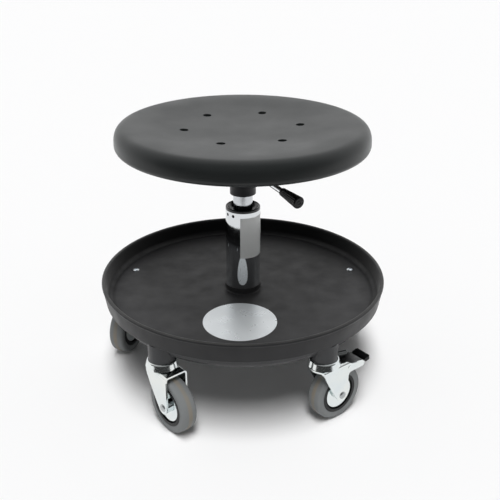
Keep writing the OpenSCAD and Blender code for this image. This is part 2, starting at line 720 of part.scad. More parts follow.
module fork(i) color("#dfe2e4") at_caster(i) {
    has_brake = len(search(i, braked)) > 0;
    reach = has_brake ? arm_reach : leg_rear_x;
    difference() {
        union() {
            intersection() {
                translate([-crown_r, 0, 0]) rotate([90, 0, 90]) linear_extrude(crown_r + reach) difference() {
                    polygon(arch(fork_out, crown_z, fork_bend_r, 0));
                    polygon(arch(fork_half, crown_z - fork_t, fork_bend_r - fork_t, -over));
                }
                slab(2*fork_out + 2*over) polygon(leg_outline(has_brake ? arm_rear_edge() : plain_rear_edge()));
                linear_extrude(crown_z + over) union() {
                    circle(r=crown_r);
                    translate([0, -fork_out]) square([reach, 2*fork_out]);
                }
            }
            translate([0, 0, crown_z - fork_t/2]) cylinder(h=race_top_z - crown_z + fork_t/2, r=race_r);
        }
        translate([0, 0, crown_z - fork_t - over]) cylinder(h=race_top_z - crown_z + fork_t + 2*over, r=kingpin_r + slip);
        ball_groove(ball_pitch_r, ball_d, ball_z);
        on_axle() cylinder(h=2*fork_out + 2*over, r=axle_r + slip, center=true);
        if (has_brake) {
            translate([arm_slot_x, -fork_half, leg_rear_x]) cube([arm_reach, fork_gap, crown_z]);
            translate([pedal_pin_x, 0, pedal_pin_z]) rotate([90, 0, 0])
                cylinder(h=2*fork_out + 2*over, r=pedal_pin_r + slip, center=true);
        }
    }
}

// The axle: a rivet through the legs, and the spacer tube that the wheel turns on
module axle(i) color("silver") at_caster(i) on_axle() {
    rotate_extrude() polygon(concat(
        oval(0, -fork_out, axle_head_r, axle_head_t, -90, 0),
        [[axle_r, -fork_out], [axle_r, fork_out]], oval(0, fork_out, axle_head_r, axle_head_t, 0, 90)));
    difference() {
        cylinder(h=fork_gap - 2*slip, r=spacer_r, center=true);
        cylinder(h=fork_gap + over, r=axle_r + slip, center=true);
    }
}

module guards(i) color("#dfe2e4") at_caster(i) on_axle() for (side = [0, 1]) mirror([0, 0, side])
    rotate_extrude() polygon([
        [spacer_r + slip, guard_y], [guard_boss_r, guard_y], [guard_r, guard_y - guard_dish],
        [guard_r, guard_y - guard_dish + guard_t], [guard_boss_r, guard_y + guard_t],
        [guard_boss_r, fork_half - slip], [spacer_r + slip, fork_half - slip]]);

module hub(i) color("#4a4c4f") at_caster(i) on_axle() rotate_extrude() polygon([
    [spacer_r + slip, -hub_boss_half], [hub_boss_r, -hub_boss_half], [hub_boss_r, -web_half],
    [rim_r - rim_wall, -web_half], [rim_r - rim_wall, -rim_half], [rim_r - slip, -rim_half],
    [rim_r - slip, rim_half], [rim_r - rim_wall, rim_half], [rim_r - rim_wall, web_half],
    [hub_boss_r, web_half], [hub_boss_r, hub_boss_half], [spacer_r + slip, hub_boss_half]]);

module tyre(i) color("#8f9296") at_caster(i) on_axle() rotate_extrude() {
    half = tyre_w/2;
    side_r = wheel_r - tyre_crown - tyre_shoulder_r;
    tread_half = half - tyre_shoulder_r;
    polygon(concat(
        [[rim_r, -tyre_seat_half], [side_r - tyre_shoulder_r/2, -half]],
        arc(side_r, -tread_half, tyre_shoulder_r, -90, 0),
        [for (k = [1 - arc_steps:arc_steps - 1]) [wheel_r - tyre_crown*pow(k/arc_steps, 2), tread_half*k/arc_steps]],
        arc(side_r, tread_half, tyre_shoulder_r, 0, 90),
        [[side_r - tyre_shoulder_r/2, half], [rim_r, tyre_seat_half]]));
}

// The pedal: plate between the fork's arms, ears on the rivets, and a shoe that follows the tyre
module brake_pedal() color("#8d9093") at_caster(front_right) difference() {
    union() {
        intersection() {
            slab(2*pedal_half + 2*over) polygon(pedal_plate(0));
            linear_extrude(crown_z) polygon(pedal_plan());
        }
        for (side = [-1, 1]) translate([0, side*(pedal_half - pedal_ear_t/2), 0]) slab(pedal_ear_t)
            polygon(concat(
                arc(pedal_pin_x, pedal_pin_z, pedal_ear_r, 180, 360),
                [for (x = [2*pedal_ear_r, -pedal_ear_r]) [pedal_pin_x + x, plate_z(pedal_pin_x + x)]]));
        slab(shoe_w) polygon(concat(
            arc(trail, wheel_r, wheel_r + shoe_gap, shoe_from, shoe_to),
            [for (x = [wheel_r*cos(shoe_to), (wheel_r + shoe_t)*cos(shoe_from)]) [trail + x, plate_z(trail + x)]]));
    }
    translate([pedal_pin_x, 0, pedal_pin_z]) rotate([90, 0, 0])
        cylinder(h=2*fork_out, r=pedal_pin_r + slip, center=true);
}

// The height of the middle of the plate at the distance x from the swivel axis
function plate_z(x) = let (root_z = pedal_top_z - pedal_t/2)
    root_z + (pad_mid_z - root_z)*(x - pedal_x)/(pad_x - gap - pedal_x);

// The plate from the side with the tongue bent up in the pad, or the pad's slot with the clearance c
function pedal_plate(c) = let (half = pedal_t/2 + c, tip_z = pad_mid_z + (pad_grip + gap)*tan(pad_tilt)) [
    [pedal_x - c, pedal_top_z + c], [pedal_x - c, pedal_top_z - pedal_t - c],
    [pad_x - gap, pad_mid_z - half], [pad_x + pad_grip + c, tip_z - half],
    [pad_x + pad_grip + c, tip_z + half], [pad_x - gap, pad_mid_z + half]];

// The plate from above: as wide as the fork allows, drawn in to the pad, then the tongue
function pedal_plan() = let (side = [
    [pedal_x - over, pedal_half], [arm_reach - arm_tip_r, pedal_half], [pad_x - gap, pad_half],
    [pad_x - gap, tongue_half], [pad_x + pad_grip + over, tongue_half]])
    concat(side, [for (k = [1:len(side)]) [side[len(side) - k][0], -side[len(side) - k][1]]]);

module brake_pad() color("#151617") at_caster(front_right) difference() {
    translate([pad_x, 0, pad_mid_z]) rotate([0, -pad_tilt, 0]) difference() {
        intersection() {
            slab(2*pad_half + 2*over) polygon(box_outline(gap, -pad_t/2, pad_l, pad_t/2, pad_edge_r));
            translate([0, 0, -pad_t]) linear_extrude(2*pad_t)
                polygon(box_outline(-2*pad_corner_r, -pad_half, pad_l, pad_half, pad_corner_r));
        }
        for (i = [1:pad_grooves]) translate([i*pad_l/(pad_grooves + 1), 0, pad_t/2])
            cube([groove_w, 2*pad_half + 2*over, 2*groove_depth], center=true);
    }
    slab(2*tongue_half + 2*slip) polygon(pedal_plate(slip));
}

module brake_rivets() color("silver") at_caster(front_right) for (side = [0, 1]) mirror([0, side, 0])
    translate([pedal_pin_x, pedal_half - pedal_ear_t, pedal_pin_z]) rotate([-90, 0, 0]) {
        cylinder(h=pedal_ear_t + gap + fork_t, r=pedal_pin_r);
        translate([0, 0, pedal_ear_t + gap + fork_t]) cylinder(h=pedal_pin_head_t, r=pedal_pin_head_r);
    }

base_shell();
tray();
tray_badge();
tray_screws();
column_tube();
column_label();
guide_sleeve();
thrust_bearing();
rod_clip();
piston_rod();
gas_cylinder();
valve_pin();
seat_mechanism();
seat_screws();
seat_board();
seat();
lever_rod();
lever_grip();
lever_pin();
stem(front_left);  // stem_front_left
balls(front_left);  // balls_front_left
fork(front_left);  // fork_front_left
axle(front_left);  // axle_front_left
guards(front_left);  // guards_front_left
hub(front_left);  // hub_front_left
tyre(front_left);  // tyre_front_left
stem(front_right);  // stem_front_right
balls(front_right);  // balls_front_right
fork(front_right);  // fork_front_right
axle(front_right);  // axle_front_right
guards(front_right);  // guards_front_right
hub(front_right);  // hub_front_right
tyre(front_right);  // tyre_front_right
stem(rear_right);  // stem_rear_right
balls(rear_right);  // balls_rear_right
fork(rear_right);  // fork_rear_right
axle(rear_right);  // axle_rear_right
guards(rear_right);  // guards_rear_right
hub(rear_right);  // hub_rear_right
tyre(rear_right);  // tyre_rear_right
stem(rear);  // stem_rear
balls(rear);  // balls_rear
fork(rear);  // fork_rear
axle(rear);  // axle_rear
guards(rear);  // guards_rear
hub(rear);  // hub_rear
tyre(rear);  // tyre_rear
stem(rear_left);  // stem_rear_left
balls(rear_left);  // balls_rear_left
fork(rear_left);  // fork_rear_left
axle(rear_left);  // axle_rear_left
guards(rear_left);  // guards_rear_left
hub(rear_left);  // hub_rear_left
tyre(rear_left);  // tyre_rear_left
brake_pedal();
brake_pad();
brake_rivets();
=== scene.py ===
"""Looks of the rolling stool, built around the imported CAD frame. Metres, +Z up, front at -Y."""
import math

import bmesh
import bpy
from mathutils import Matrix, Vector


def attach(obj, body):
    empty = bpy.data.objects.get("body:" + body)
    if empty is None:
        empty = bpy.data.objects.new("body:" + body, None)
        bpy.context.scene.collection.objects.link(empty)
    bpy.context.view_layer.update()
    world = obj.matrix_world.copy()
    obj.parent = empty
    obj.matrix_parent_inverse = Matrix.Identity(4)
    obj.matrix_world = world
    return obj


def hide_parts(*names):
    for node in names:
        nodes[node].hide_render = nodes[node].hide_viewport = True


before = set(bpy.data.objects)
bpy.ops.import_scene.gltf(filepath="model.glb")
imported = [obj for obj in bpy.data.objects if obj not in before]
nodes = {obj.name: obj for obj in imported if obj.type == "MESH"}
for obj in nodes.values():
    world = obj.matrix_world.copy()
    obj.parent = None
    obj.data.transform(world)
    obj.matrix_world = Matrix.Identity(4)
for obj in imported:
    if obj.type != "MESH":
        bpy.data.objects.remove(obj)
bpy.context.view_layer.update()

# Sizes here and in the functions below are in millimetres and degrees, and MM turns them into metres.
# A post's bearing goes round from the front, -Y, and a wheel's heading from the right, +X
MM = 0.001
PLACES = ("front_left", "front_right", "rear_right", "rear", "rear_left")
POST_BEARINGS = dict(zip(PLACES, (-36, 36, 108, 180, 252)))
HEADINGS = dict(zip(PLACES, (-49.6, 37.7, 150, 120, 248.8)))
POST_CIRCLE_R = 185.3
TRAIL = 22
AXLE_Z = 40

# Camera: the photograph's viewing angle, as a 500 x 500 picture. The place is in metres
CAMERA_PLACE = (0.0, -1.0124, 0.6635)
CAMERA_PITCH = 25.02
CAMERA_YAW = -0.584
CAMERA_ROLL = 0.17
CAMERA_NEAR, CAMERA_FAR = 0.01, 100
SENSOR_W = 36
FOCAL_PIXELS = 758.85
PICTURE_PIXELS = 500

# Floor: a pale plane that ends in front, below the picture's lower edge. Metres
FLOOR_HALF = 60.0
FLOOR_FRONT = -0.72
FLOOR_COLOR, FLOOR_ROUGH = (0.905, 0.905, 0.908), 0.9

# Lamps: three soft ones, high in front
KEY_ELEVATIONS = (58.0, 70.0, 82.0)
KEY_SPREAD, KEY_STRENGTH = 15.0, 1.0

# Surround: it lights the object more from the sides than from steep directions. Metal mirrors it at
# strength 1 behind, and in front at FRONT_LOW below a low height and at FRONT_HIGH above it. Each span
# is where one strength eases into the other: in a direction's steepness, its height or its way back
FILL_SIDES, FILL_STEEP, FILL_SPAN = 0.30, 0.17, (0.25, 0.65)
FRONT_LOW, FRONT_HIGH, FRONT_SPAN = 0.045, 0.3, (0.24, 0.40)
BACK_SPAN = (-0.35, 0.15)
SURROUND_COLOR = (0.965, 0.965, 0.968, 1)

# Edges sharper than SHARP stay sharp, a point nearer to the axis than POLE_R is a pole, and points
# nearer to each other than WELD, in metres, become one
SHARP = 32.0
POLE_R = 1e-6
WELD = 1e-7

# Sockets of a colour Mix node, and how rounded the cells of a grain are
MIX_FROM, MIX_TO, MIX_RESULT = 6, 7, 2
CELL_SMOOTHNESS = 0.6


def turn(degrees, axis):
    """A turn about one axis."""
    return Matrix.Rotation(math.radians(degrees), 4, axis)


def on_circle(radius, angle, height=0.0):
    """The place in metres at that radius, angle and height."""
    a = math.radians(angle)
    return Vector((radius * MM * math.cos(a), radius * MM * math.sin(a), height * MM))


def add(name, data, matrix=Matrix()):
    """A new object in the scene, at its place."""
    obj = bpy.data.objects.new(name, data)
    bpy.context.scene.collection.objects.link(obj)
    obj.matrix_world = matrix
    return obj


class Wiring:
    """Short ways to add nodes to a shader tree. A value is a number, a colour or another node's socket."""

    def __init__(self, tree):
        self.tree = tree

    def fill(self, slot, value):
        """Links a socket to a node's input, or sets the input to a plain value."""
        if isinstance(value, bpy.types.NodeSocket):
            self.tree.links.new(value, slot)
        else:
            slot.default_value = value

    def feed(self, node, **inputs):
        """Gives a node's inputs their values by name, with _ for a space."""
        for name, value in inputs.items():
            self.fill(node.inputs[name.replace("_", " ")], value)

    def node(self, kind, *values, **inputs):
        """A new node, with its first inputs in their order and others by name."""
        n = self.tree.nodes.new(kind)
        for slot, value in zip(n.inputs, values):
            self.fill(slot, value)
        self.feed(n, **inputs)
        return n

    def math(self, operation, *values):
        """The result of a Math node."""
        n = self.node("ShaderNodeMath", *values)
        n.operation = operation
        return n.outputs[0]

    def times(self, a, b):
        return self.math("MULTIPLY", a, b)

    def axes(self, vector):
        """A vector's three parts."""
        return tuple(self.node("ShaderNodeSeparateXYZ", vector).outputs)

    def span(self, value, low, high, start=0.3, end=0.7, easing="LINEAR"):
        """The value between start and end, spread from low to high."""
        n = self.node("ShaderNodeMapRange", Value=value, From_Min=start, From_Max=end,
                      To_Min=low, To_Max=high)
        n.interpolation_type = easing
        return n.outputs["Result"]


class Finish(Wiring):
    """A Principled material. Its patterns lie in the object's own coordinates, in metres."""

    def __init__(self, name, color, rough, metal=0.0, spec=0.5, **sockets):
        self.name = name
        self.mat = bpy.data.materials.new(name)
        self.mat.use_nodes = True
        super().__init__(self.mat.node_tree)
        self.shader = self.tree.nodes["Principled BSDF"]
        self.coords = self.node("ShaderNodeTexCoord").outputs["Object"]
        self.normal = None
        self.feed(self.shader, Base_Color=(*color, 1), Roughness=rough, Metallic=metal,
                  Specular_IOR_Level=spec, **sockets)

    def scaled(self, stretch):
        """Coordinates stretched along X, Y and Z."""
        return self.node("ShaderNodeMapping", Vector=self.coords, Scale=stretch).outputs[0]

    def noise(self, scale, detail=3.0, rough=0.5, coords=None, distortion=0.0):
        n = self.node("ShaderNodeTexNoise", Vector=coords or self.coords, Scale=scale,
                      Detail=detail, Roughness=rough, Distortion=distortion)
        return n.outputs["Fac"]

    def cells(self, scale):
        """Small rounded cells, as in a fine leather grain."""
        n = self.node("ShaderNodeTexVoronoi", Vector=self.coords, Scale=scale)
        n.feature = "SMOOTH_F1"
        self.feed(n, Smoothness=CELL_SMOOTHNESS)
        return n.outputs["Distance"]

    def polar(self):
        """Angle, radius and height about the object's vertical axis."""
        x, y, z = self.axes(self.coords)
        radius = self.math("SQRT", self.math("ADD", self.times(x, x), self.times(y, y)))
        return self.math("ARCTAN2", y, x), radius, z

    def rise(self, value, start, end):
        """0 to 1 as the value goes from start to end."""
        return self.span(value, 0.0, 1.0, start * MM, end * MM)

    def fall(self, value, start, end):
        """1 to 0 as the value goes from start to end."""
        return self.span(value, 1.0, 0.0, start * MM, end * MM)

    def tint(self, amount, color):
        """Base colour goes from what it is towards color where the amount is 1."""
        base = self.shader.inputs["Base Color"]
        n = self.tree.nodes.new("ShaderNodeMix")
        n.data_type = "RGBA"
        self.fill(n.inputs["Factor"], amount)
        self.fill(n.inputs[MIX_FROM], base.links[0].from_socket if base.is_linked else base.default_value[:])
        self.fill(n.inputs[MIX_TO], (*color, 1))
        self.fill(base, n.outputs[MIX_RESULT])

    def roughness(self, value):
        self.feed(self.shader, Roughness=value)

    def bump(self, height, depth):
        """Adds relief of that depth over what relief there is."""
        n = self.node("ShaderNodeBump", Distance=depth * MM, Height=height)
        if self.normal is not None:
            self.feed(n, Normal=self.normal)
        self.normal = n.outputs[0]
        self.feed(self.shader, Normal=self.normal)


def moulded(name, color, rough, grain, depth, spec, **sockets):
    """Moulded plastic: a spark-eroded grain, patches of gloss and a faint mottle of its colour."""
    gloss_scale, glossy, dull = 38, 0.07, 0.09
    mottle_scale, most, gain, lift = 14, 0.35, 1.5, 0.002
    lighter = [c * gain + lift for c in color]
    f = Finish(name, color, rough, spec=spec, **sockets)
    f.roughness(f.span(f.noise(gloss_scale), rough - glossy, rough + dull))
    f.tint(f.span(f.noise(mottle_scale, detail=4), 0.0, most), lighter)
    f.bump(f.noise(1 / (grain * MM), detail=2), depth)
    return f


def plated(name, color, rough, tint_to, cloud_scale, scratch=0.012):
    """Plated steel: soft clouds of tint, finer ones of roughness, and fine scratches."""
    finer, glossy, dull, scratch_scale = 2.3, 0.75, 1.4, 420
    f = Finish(name, color, rough, metal=1.0)
    f.tint(f.span(f.noise(cloud_scale), 0.0, 1.0, start=0.35, end=0.75), tint_to)
    f.roughness(f.span(f.noise(cloud_scale * finer), rough * glossy, rough * dull))
    f.bump(f.noise(scratch_scale), scratch)
    return f


def turned(name, color, rough):
    """Ground or polished round stock: fine rings across the axis."""
    across, along, glossy, dull, depth = 60, 2600, 0.7, 1.4, 0.004
    f = Finish(name, color, rough, metal=1.0)
    rings = f.noise(1.0, detail=2, coords=f.scaled((across, across, along)))
    f.roughness(f.span(rings, rough * glossy, rough * dull))
    f.bump(rings, depth)
    return f


def coated(name, color, rough, tint_to, gloss, mottle, ripple, **sockets):
    """A smooth skin with three noises, each given by its scale, its detail and what it does.

    gloss ends with the lowest and the highest roughness, mottle with the most tint, ripple with its depth.
    """
    f = Finish(name, color, rough, **sockets)
    scale, detail, lowest, highest = gloss
    f.roughness(f.span(f.noise(scale, detail), lowest, highest))
    scale, detail, most = mottle
    f.tint(f.span(f.noise(scale, detail), 0.0, most), tint_to)
    scale, detail, depth = ripple
    f.bump(f.noise(scale, detail), depth)
    return f


def tray_plastic():
    """The tray: dry streaks, dust that ends at the foot of the wall, painted shade on the wall and its foot,
    and a painted highlight along the rim.
    """
    # Where each starts or ends, by radius, and the rim by height too
    dust_end, wall_start, wall_end = (172, 192), (188, 192.5), (201.6, 202.6)
    rim_start, rim_low = (202.2, 203), (155.6, 156.6)
    dry, dusty = (0.02, 0.02, 0.021), (0.028, 0.028, 0.029)
    # Of the second pair, the near-black is painted shade for the wall and its foot, the lighter grey a
    # painted highlight for the top of the rim
    painted_wall_shade, painted_rim_highlight = (0.002, 0.002, 0.0023), (0.045, 0.045, 0.044)
    round_scale, across_scale, dust_scale, rim_highlight_scale = 9.0, 14.0, 7, 30
    f = moulded("tray_plastic", (0.0135, 0.0135, 0.0145), 0.46, grain=0.9, depth=0.03, spec=0.26,
                Sheen_Weight=0.12, Sheen_Roughness=0.4)
    angle, radius, height = f.polar()
    swirl = f.node("ShaderNodeCombineXYZ", f.times(angle, round_scale), f.times(radius, across_scale))
    streaks = f.noise(1.0, rough=0.6, coords=swirl.outputs[0])
    f.tint(f.span(streaks, 0.0, 0.55, start=0.38, end=0.72), dry)
    dust = f.span(f.noise(dust_scale, detail=4), 0.6, 1.0)
    f.tint(f.times(f.fall(radius, *dust_end), dust), dusty)
    # Painted shade: the inner wall and its foot darkened nearly to black, where the seat's shade falls
    f.tint(f.times(f.rise(radius, *wall_start), f.fall(radius, *wall_end)), painted_wall_shade)
    # Painted highlight: the top of the rim lightened in patches, where light catches its edge
    rim = f.times(f.rise(radius, *rim_start), f.rise(height, *rim_low))
    f.tint(f.times(rim, f.span(f.noise(rim_highlight_scale), 0.35, 1.0)), painted_rim_highlight)
    return f


def column_chrome():
    """Bright chrome, a little wavy, with patches of wiping marks."""
    wipe_scale, glossy, dull = 30, 0.025, 0.07
    wave_scale, wave_depth = 24, 0.02
    f = Finish("column_chrome", (0.68, 0.70, 0.715), 0.035, metal=1.0)
    f.roughness(f.span(f.noise(wipe_scale, detail=5), glossy, dull))
    f.bump(f.noise(wave_scale, detail=2), wave_depth)
    return f


def plywood():
    """A board far darker than wood's own tone, painted shade for where it shows at the bottom of the seat's
    holes: long grain, and its layers on the edge.
    """
    along, across, through, grain_depth, layer_pair = 18, 240, 900, 0.08, 3
    brown, pale, glossy, dull = (0.032, 0.026, 0.021), (0.045, 0.036, 0.028), 0.52, 0.72
    # Painted shade: the board's near-black colour stands in for the shade at the bottom of the seat's holes
    f = Finish("plywood", (0.016, 0.014, 0.013), 0.6, spec=0.3)
    grain = f.noise(1.0, detail=5, rough=0.65, coords=f.scaled((along, across, through)), distortion=0.4)
    f.tint(f.span(grain, 0.0, 0.8), brown)
    height = f.axes(f.coords)[2]
    layers = f.math("SINE", f.times(height, 2 * math.pi / (layer_pair * MM)))
    f.tint(f.span(layers, 0.0, 0.25, start=-1.0, end=1.0), pale)
    f.roughness(f.span(grain, glossy, dull))
    f.bump(grain, grain_depth)
    return f


def seat_skin():
    """Moulded polyurethane skin: a fine leather grain, a slow ripple and a faint sheen."""
    gloss_scale, glossy, dull = 16, 0.32, 0.41
    mottle_scale, paler = 9, (0.0175, 0.0195, 0.0195)
    cell_scale, cell_depth, ripple_scale, ripple_depth = 1150, 0.05, 11, 0.5
    f = Finish("seat_skin", (0.0125, 0.0143, 0.0143), 0.36, spec=0.3,
               Sheen_Weight=0.12, Sheen_Roughness=0.35, Sheen_Tint=(0.92, 1.0, 1.0, 1))
    f.roughness(f.span(f.noise(gloss_scale, detail=4), glossy, dull))
    f.tint(f.span(f.noise(mottle_scale), 0.0, 0.5), paler)
    f.bump(f.cells(cell_scale), cell_depth)
    f.bump(f.noise(ripple_scale, detail=2), ripple_depth)
    return f


def tyre_rubber():
    """Grey tyre rubber with a brown stripe of wear along the middle of the tread."""
    stripe_edge, tread_start = (2.2, 3.8), (38.2, 39.6)
    rim_highlight_scale, brown = 45, (0.235, 0.20, 0.15)
    f = coated("tyre", (0.182, 0.191, 0.193), 0.62, (0.212, 0.22, 0.221),
               gloss=(85, 3, 0.54, 0.72), mottle=(60, 4, 0.4), ripple=(900, 3, 0.03), spec=0.3)
    _, radius, across = f.polar()
    stripe = f.times(f.fall(f.math("ABSOLUTE", across), *stripe_edge), f.rise(radius, *tread_start))
    f.tint(f.times(stripe, f.span(f.noise(rim_highlight_scale, detail=4), 0.35, 0.9)), brown)
    return f


def make_finishes():
    """Every material, by the record's slot, and for the axles a zinc darkened as painted shade."""
    made = (
        moulded("base_plastic", (0.015, 0.016, 0.018), 0.4, grain=0.8, depth=0.05, spec=0.6),
        tray_plastic(),
        coated("badge", (0.82, 0.86, 0.88), 0.3, (0.82, 0.845, 0.86),
               gloss=(55, 3, 0.26, 0.36), mottle=(11, 2, 0.3), ripple=(900, 2, 0.006), metal=0.5),
        plated("screw_zinc", (0.66, 0.72, 0.79), 0.32, (0.78, 0.80, 0.78), 160),
        plated("zinc", (0.74, 0.79, 0.80), 0.09, (0.82, 0.84, 0.81), 30, scratch=0.004),
        # Painted shade: the axles' zinc is far darker than the forks', so the rivet heads read dark as their
        # shaded rims do
        plated("axle_zinc_painted_shade", (0.38, 0.40, 0.41), 0.24, (0.54, 0.55, 0.54), 140, scratch=0.01),
        plated("lever_chrome", (0.80, 0.82, 0.84), 0.07, (0.86, 0.87, 0.88), 80),
        column_chrome(),
        coated("label", (0.93, 0.95, 0.945), 0.24, (0.88, 0.89, 0.87),
               gloss=(70, 3, 0.14, 0.28), mottle=(26, 3, 0.5), ripple=(160, 2, 0.02)),
        turned("cylinder_steel", (0.58, 0.60, 0.62), 0.16),
        turned("rod_steel", (0.76, 0.77, 0.78), 0.12),
        turned("bearing_steel", (0.70, 0.70, 0.71), 0.15),
        turned("spring_steel", (0.20, 0.20, 0.21), 0.35),
        turned("valve_brass", (0.72, 0.55, 0.27), 0.25),
        moulded("sleeve_plastic", (0.010, 0.011, 0.012), 0.2, grain=1.2, depth=0.01, spec=0.5),
        moulded("grip_plastic", (0.005, 0.005, 0.006), 0.24, grain=1.0, depth=0.015, spec=0.28),
        coated("mechanism_paint", (0.009, 0.010, 0.012), 0.38, (0.016, 0.017, 0.019),
               gloss=(90, 3, 0.32, 0.46), mottle=(20, 3, 0.4), ripple=(650, 3, 0.03), spec=0.35),
        plywood(),
        moulded("hub_plastic", (0.006, 0.0065, 0.007), 0.42, grain=0.8, depth=0.03, spec=0.25),
        moulded("pad_plastic", (0.003, 0.003, 0.0035), 0.45, grain=0.6, depth=0.05, spec=0.2),
        plated("pedal_steel", (0.05, 0.052, 0.054), 0.2, (0.08, 0.082, 0.085), 60, scratch=0.006),
        seat_skin(),
        tyre_rubber(),
    )
    return {f.name: f.mat for f in made}


def dress_nodes(finishes):
    """Every CAD node that stays gets the finish of its own slot, and the axles their zinc darkened as
    painted shade.
    """
    for name, obj in nodes.items():
        for slot in obj.material_slots:
            key = "axle_zinc_painted_shade" if name.startswith("axle_") else slot.material.name.split(".")[0]
            slot.material = finishes[key]


def dress(obj, material):
    """Gives a made piece its one material."""
    obj.data.materials.clear()
    obj.data.materials.append(material)


def new_mesh(name, verts, faces, sharp=SHARP):
    """An object of that mesh, shaded smooth but for its sharp edges."""
    mesh = bpy.data.meshes.new(name)
    mesh.from_pydata([tuple(v) for v in verts], [], faces)
    mesh.validate()
    finish_mesh(mesh, sharp)
    return add(name, mesh)


def finish_mesh(mesh, sharp):
    """Outward normals, smooth shading and sharp edges by angle."""
    bm = bmesh.new()
    bm.from_mesh(mesh)
    bmesh.ops.remove_doubles(bm, verts=bm.verts, dist=WELD)
    bmesh.ops.recalc_face_normals(bm, faces=bm.faces)
    for face in bm.faces:
        face.smooth = True
    bm.to_mesh(mesh)
    bm.free()
    mesh.set_sharp_from_angle(angle=math.radians(sharp))


def lathe(name, outline, steps, sharp=SHARP, wobble=None):
    """A closed solid of revolution about Z.

    The outline runs from one pole to the other, or is a closed ring. wobble gives a point's own radius
    from its radius in the outline, its height and its angle in radians.
    """
    ring = outline[0][0] > POLE_R
    verts, rows, faces = [], [], []
    for r, z in outline:
        if r < POLE_R:
            rows.append([len(verts)] * steps)
            verts.append((0.0, 0.0, z * MM))
            continue
        rows.append(list(range(len(verts), len(verts) + steps)))
        for k in range(steps):
            a = 2 * math.pi * k / steps
            own_r = (wobble(r, z, a) if wobble else r) * MM
            verts.append((own_r * math.cos(a), own_r * math.sin(a), z * MM))
    pairs = list(zip(rows, rows[1:])) + ([(rows[-1], rows[0])] if ring else [])
    for low, high in pairs:
        for k in range(steps):
            n = (k + 1) % steps
            face = []
            for v in (low[k], low[n], high[n], high[k]):
                if v not in face:
                    face.append(v)
            if len(face) > 2:
                faces.append(face)
    return new_mesh(name, verts, faces, sharp)


def arc(cx, cz, rx, rz, start, end, steps):
    """Points of an oval stretch, with both ends."""
    angles = [math.radians(start + (end - start) * k / steps) for k in range(steps + 1)]
    return [(cx + rx * math.cos(a), cz + rz * math.sin(a)) for a in angles]


def cut(obj, tools, sharp):
    """Takes the tool objects out of obj and removes them."""
    bpy.context.view_layer.update()
    for tool in tools:
        modifier = obj.modifiers.new("cut", "BOOLEAN")
        modifier.operation, modifier.solver, modifier.object = "DIFFERENCE", "EXACT", tool
    graph = bpy.context.evaluated_depsgraph_get()
    mesh = bpy.data.meshes.new_from_object(obj.evaluated_get(graph))
    obj.modifiers.clear()
    obj.data = mesh
    finish_mesh(mesh, sharp)
    for tool in tools:
        bpy.data.objects.remove(tool)


def make_seat(finishes):
    """The moulded seat: dished top, rounded edges, six holes with rounded lips, a recess for the board."""
    seat_z, crest_z, seat_r, crest_r, foot_r = 352.0, 382.7, 176.0, 158.0, 8.0
    board_r, board_t, mouth = 150.05, 9.05, 0.6
    dish, dish_power, dish_steps = 7.7, 1.8, 56
    edge_w, edge_h, edge_fullness, edge_steps = seat_r - crest_r, crest_z - seat_z - foot_r, 2.7, 28
    hole_r, hole_circle_r, hole_turn, holes = 6.0, 80.4, 9.5, 6
    lip, lip_flare, lip_rise, lip_end, overrun = 0.4, 0.48, 0.15, 72, 8.0

    def dished(share):
        """Height of the top at that share of the crest's radius."""
        return crest_z - dish * (1 + math.cos(math.pi * share ** dish_power)) / 2

    roof_z = seat_z + board_t
    outline = [(0, roof_z), (board_r, roof_z), (board_r, seat_z + mouth), (board_r + mouth, seat_z)]
    outline += arc(seat_r - foot_r, seat_z + foot_r, foot_r, foot_r, -90, 0, steps=12)
    for k in range(1, edge_steps + 1):
        a = math.radians(90 * k / edge_steps)
        outline.append((crest_r + edge_w * max(math.cos(a), 0.0) ** (2 / edge_fullness),
                        seat_z + foot_r + edge_h * math.sin(a) ** (2 / edge_fullness)))
    shares = [1 - k / dish_steps for k in range(1, dish_steps + 1)]
    outline += [(share * crest_r, dished(share)) for share in shares]
    seat = lathe("seat_pad", outline, steps=240)

    top_z = dished(hole_circle_r / crest_r)
    mouth_r, tool_z = hole_r + lip_flare, top_z + overrun
    shape = [(0, seat_z), (hole_r, seat_z)]
    shape += arc(hole_r + lip, top_z - lip, -lip, lip, 0, lip_end, steps=4)
    shape += [(mouth_r, top_z + lip_rise), (mouth_r, tool_z), (0, tool_z)]
    tools = []
    for k in range(holes):
        tool = lathe(f"hole_{k}", shape, steps=32)
        tool.matrix_world = Matrix.Translation(on_circle(hole_circle_r, hole_turn + 360 * k / holes))
        tools.append(tool)
    cut(seat, tools, sharp=38)
    dress(seat, finishes["seat_skin"])
    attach(seat, "seat")
    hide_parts("seat")


